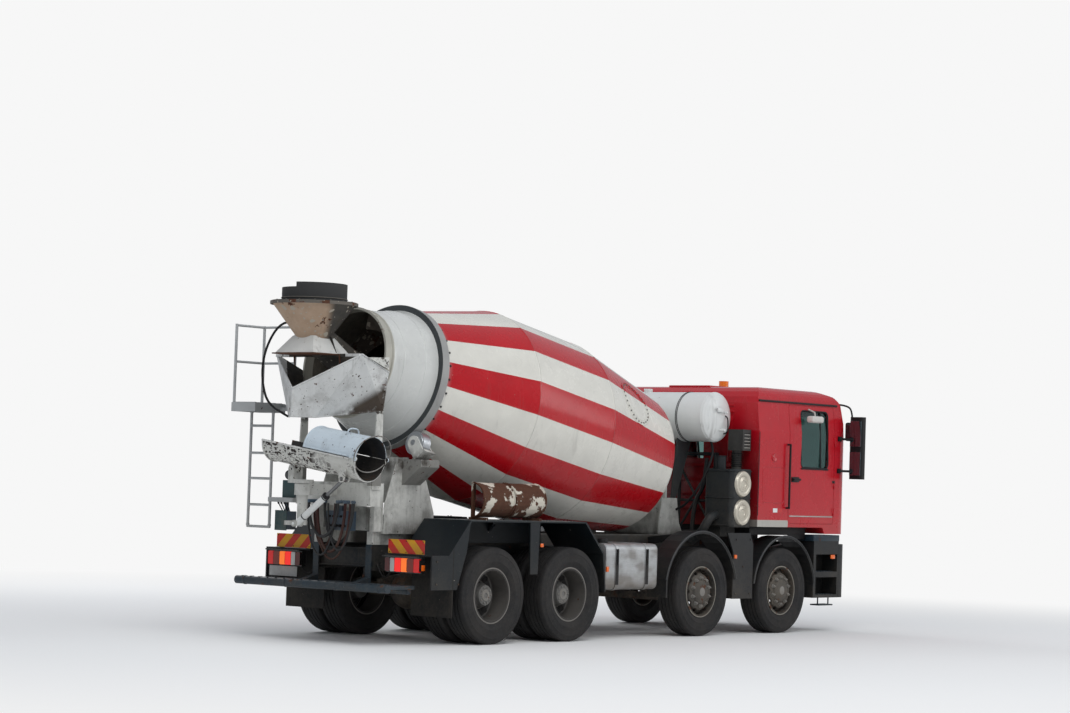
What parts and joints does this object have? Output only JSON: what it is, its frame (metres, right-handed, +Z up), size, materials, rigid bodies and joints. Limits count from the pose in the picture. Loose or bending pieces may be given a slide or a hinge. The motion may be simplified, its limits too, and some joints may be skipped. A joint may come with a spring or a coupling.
{
  "type": "concrete mixer truck",
  "caption": "Four-axle concrete mixer truck with a red tilting cab, a red and white banded drum and a swivelling, folding discharge chute.",
  "frame": {"origin": "on the ground, under the middle of the truck's box", "axes": "+X forward, +Y to the driver's left, +Z up"},
  "size_m": [9.18, 3, 3.8203],
  "materials": {
    "chassis_paint": "satin, dusty",
    "mixer_paint": "worn white, splashed with concrete",
    "drum_paint": "gloss red and off-white bands",
    "blade_steel": "worn",
    "cab_red": "gloss",
    "black_plastic": "matt",
    "cast_dark": "greasy",
    "tank_aluminium": "brushed",
    "tank_white": "gloss white",
    "rubber": "matt",
    "wheel_rubber": "matt, dusty",
    "roller_steel": "polished by running",
    "rod_steel": "polished",
    "lamp_red": "clear lens",
    "marker_paint": "reflective red and yellow",
    "beacon_orange": "clear lens",
    "glass": "clear",
    "seat_fabric": "woven",
    "rust": "rusty, bare in places"
  },
  "bodies": {
    "truck": {"chassis_frame": "chassis_paint", "mixer_frame": "mixer_paint", "engine_block": "cast_dark", "front_axles": "cast_dark", "rear_axles": "cast_dark", "bumper": "black_plastic", "front_guards": "black_plastic", "middle_guards": "black_plastic", "rear_guards": "chassis_paint", "fuel_tank": "tank_aluminium", "battery_box": "black_plastic", "water_tank": "tank_white", "silencer": "chassis_paint", "air_intake": "black_plastic", "rear_platform": "chassis_paint", "tail_lamps": "lamp_red", "marker_boards": "marker_paint", "ladder": "mixer_paint", "feed_hopper": "mixer_paint", "hopper_collar": "rubber", "discharge_hopper": "mixer_paint", "hopper_legs": "mixer_paint", "headlamps": "glass", "drum_drive": "cast_dark", "spare_chutes": "rust", "control_gear": "mixer_paint", "hydraulic_hoses": "rubber"},
    "drum": {"drum": "drum_paint", "drum_flights": "blade_steel", "mouth_flights": "blade_steel"},
    "roller_l": {"roller_l": "roller_steel"},
    "roller_r": {"roller_r": "roller_steel"},
    "chute_swivel": {"chute_carrier": "mixer_paint"},
    "chute": {"main_chute": "mixer_paint"},
    "chute_fold": {"fold_chute": "mixer_paint"},
    "chute_barrel": {"chute_barrel": "tank_white"},
    "chute_rod": {"chute_rod": "rod_steel"},
    "cab": {"cab_body": "cab_red", "cab_interior": "seat_fabric", "grille": "black_plastic", "windscreen": "glass", "cab_mirrors": "black_plastic", "sun_visor": "black_plastic", "beacon": "beacon_orange"},
    "door_l": {"door_l": "cab_red", "door_glass_l": "glass"},
    "door_r": {"door_r": "cab_red", "door_glass_r": "glass"},
    "knuckle_1l": {"knuckle_1l": "cast_dark"},
    "wheel_1l": {"wheel_1l": "wheel_rubber"},
    "knuckle_1r": {"knuckle_1r": "cast_dark"},
    "wheel_1r": {"wheel_1r": "wheel_rubber"},
    "knuckle_2l": {"knuckle_2l": "cast_dark"},
    "wheel_2l": {"wheel_2l": "wheel_rubber"},
    "knuckle_2r": {"knuckle_2r": "cast_dark"},
    "wheel_2r": {"wheel_2r": "wheel_rubber"},
    "wheel_3l": {"wheel_3l": "wheel_rubber"},
    "wheel_3r": {"wheel_3r": "wheel_rubber"},
    "wheel_4l": {"wheel_4l": "wheel_rubber"},
    "wheel_4r": {"wheel_4r": "wheel_rubber"}
  },
  "joints": [
    {"name": "drum_spin", "type": "hinge", "parent": "truck", "child": "drum", "pos_m": [-0.97756, 0, 2.50879], "axis": [0.9816, 0, -0.1908], "continuous": true},
    {"name": "roller_l_spin", "type": "hinge", "parent": "truck", "child": "roller_l", "pos_m": [-3.03696, 0.5826, 2.14944], "axis": [0.9816, 0, -0.1908], "continuous": true},
    {"name": "roller_r_spin", "type": "hinge", "parent": "truck", "child": "roller_r", "pos_m": [-3.03696, -0.5826, 2.14944], "axis": [0.9816, 0, -0.1908], "continuous": true},
    {"name": "chute_swing", "type": "hinge", "parent": "truck", "child": "chute_swivel", "pos_m": [-4.2, 0, 1.59], "axis": [0, 0, -1], "range_deg": [0, 180]},
    {"name": "chute_tilt", "type": "hinge", "parent": "chute_swivel", "child": "chute", "pos_m": [-4.2, 0.12, 1.83], "axis": [1, 0, 0], "range_deg": [0, 20]},
    {"name": "chute_unfold", "type": "hinge", "parent": "chute", "child": "chute_fold", "pos_m": [-4.2, -0.97135, 1.95735], "axis": [1, 0, 0], "range_deg": [0, 180]},
    {"name": "barrel_swing", "type": "hinge", "parent": "chute_swivel", "child": "chute_barrel", "pos_m": [-4.35, -0.08, 1.26], "axis": [1, 0, 0], "range_deg": [-1, 20]},
    {"name": "rod_slide", "type": "slide", "parent": "chute_barrel", "child": "chute_rod", "axis": [0, -0.8058, 0.5922], "range_m": [-0.27, 0.005]},
    {"name": "cab_tilt", "type": "hinge", "parent": "truck", "child": "cab", "pos_m": [4.47, 0, 1.08], "axis": [0, 1, 0], "range_deg": [0, 55]},
    {"name": "door_l_hinge", "type": "hinge", "parent": "cab", "child": "door_l", "pos_m": [4.224, 1.248, 2], "axis": [0, 0, -1], "range_deg": [0, 70]},
    {"name": "door_r_hinge", "type": "hinge", "parent": "cab", "child": "door_r", "pos_m": [4.224, -1.248, 2], "axis": [0, 0, 1], "range_deg": [0, 70]},
    {"name": "steer_1l", "type": "hinge", "parent": "truck", "child": "knuckle_1l", "pos_m": [3.15, 0.93, 0.53], "axis": [0, 0, 1], "range_deg": [-35, 35]},
    {"name": "spin_1l", "type": "hinge", "parent": "knuckle_1l", "child": "wheel_1l", "pos_m": [3.15, 1.07, 0.53], "axis": [0, 1, 0], "continuous": true},
    {"name": "steer_1r", "type": "hinge", "parent": "truck", "child": "knuckle_1r", "pos_m": [3.15, -0.93, 0.53], "axis": [0, 0, 1], "range_deg": [-35, 35]},
    {"name": "spin_1r", "type": "hinge", "parent": "knuckle_1r", "child": "wheel_1r", "pos_m": [3.15, -1.07, 0.53], "axis": [0, 1, 0], "continuous": true},
    {"name": "steer_2l", "type": "hinge", "parent": "truck", "child": "knuckle_2l", "pos_m": [1.45, 0.93, 0.53], "axis": [0, 0, 1], "range_deg": [-24, 24]},
    {"name": "spin_2l", "type": "hinge", "parent": "knuckle_2l", "child": "wheel_2l", "pos_m": [1.45, 1.07, 0.53], "axis": [0, 1, 0], "continuous": true},
    {"name": "steer_2r", "type": "hinge", "parent": "truck", "child": "knuckle_2r", "pos_m": [1.45, -0.93, 0.53], "axis": [0, 0, 1], "range_deg": [-24, 24]},
    {"name": "spin_2r", "type": "hinge", "parent": "knuckle_2r", "child": "wheel_2r", "pos_m": [1.45, -1.07, 0.53], "axis": [0, 1, 0], "continuous": true},
    {"name": "spin_3l", "type": "hinge", "parent": "truck", "child": "wheel_3l", "pos_m": [-1.1, 0.92, 0.53], "axis": [0, 1, 0], "continuous": true},
    {"name": "spin_3r", "type": "hinge", "parent": "truck", "child": "wheel_3r", "pos_m": [-1.1, -0.92, 0.53], "axis": [0, 1, 0], "continuous": true},
    {"name": "spin_4l", "type": "hinge", "parent": "truck", "child": "wheel_4l", "pos_m": [-2.45, 0.92, 0.53], "axis": [0, 1, 0], "continuous": true},
    {"name": "spin_4r", "type": "hinge", "parent": "truck", "child": "wheel_4r", "pos_m": [-2.45, -0.92, 0.53], "axis": [0, 1, 0], "continuous": true}
  ],
  "couplings": [
    {"joint": "roller_l_spin", "follows": "drum_spin", "ratio": -6.2769},
    {"joint": "roller_r_spin", "follows": "drum_spin", "ratio": -6.2769},
    {"joint": "barrel_swing", "follows": "chute_tilt", "ratio": 0.88057},
    {"joint": "rod_slide", "follows": "chute_tilt", "m_per_rad": -0.59504},
    {"joint": "steer_1l", "follows": "steer_1r", "ratio": 1},
    {"joint": "steer_2l", "follows": "steer_1r", "ratio": 0.68},
    {"joint": "steer_2r", "follows": "steer_1r", "ratio": 0.68}
  ]
}
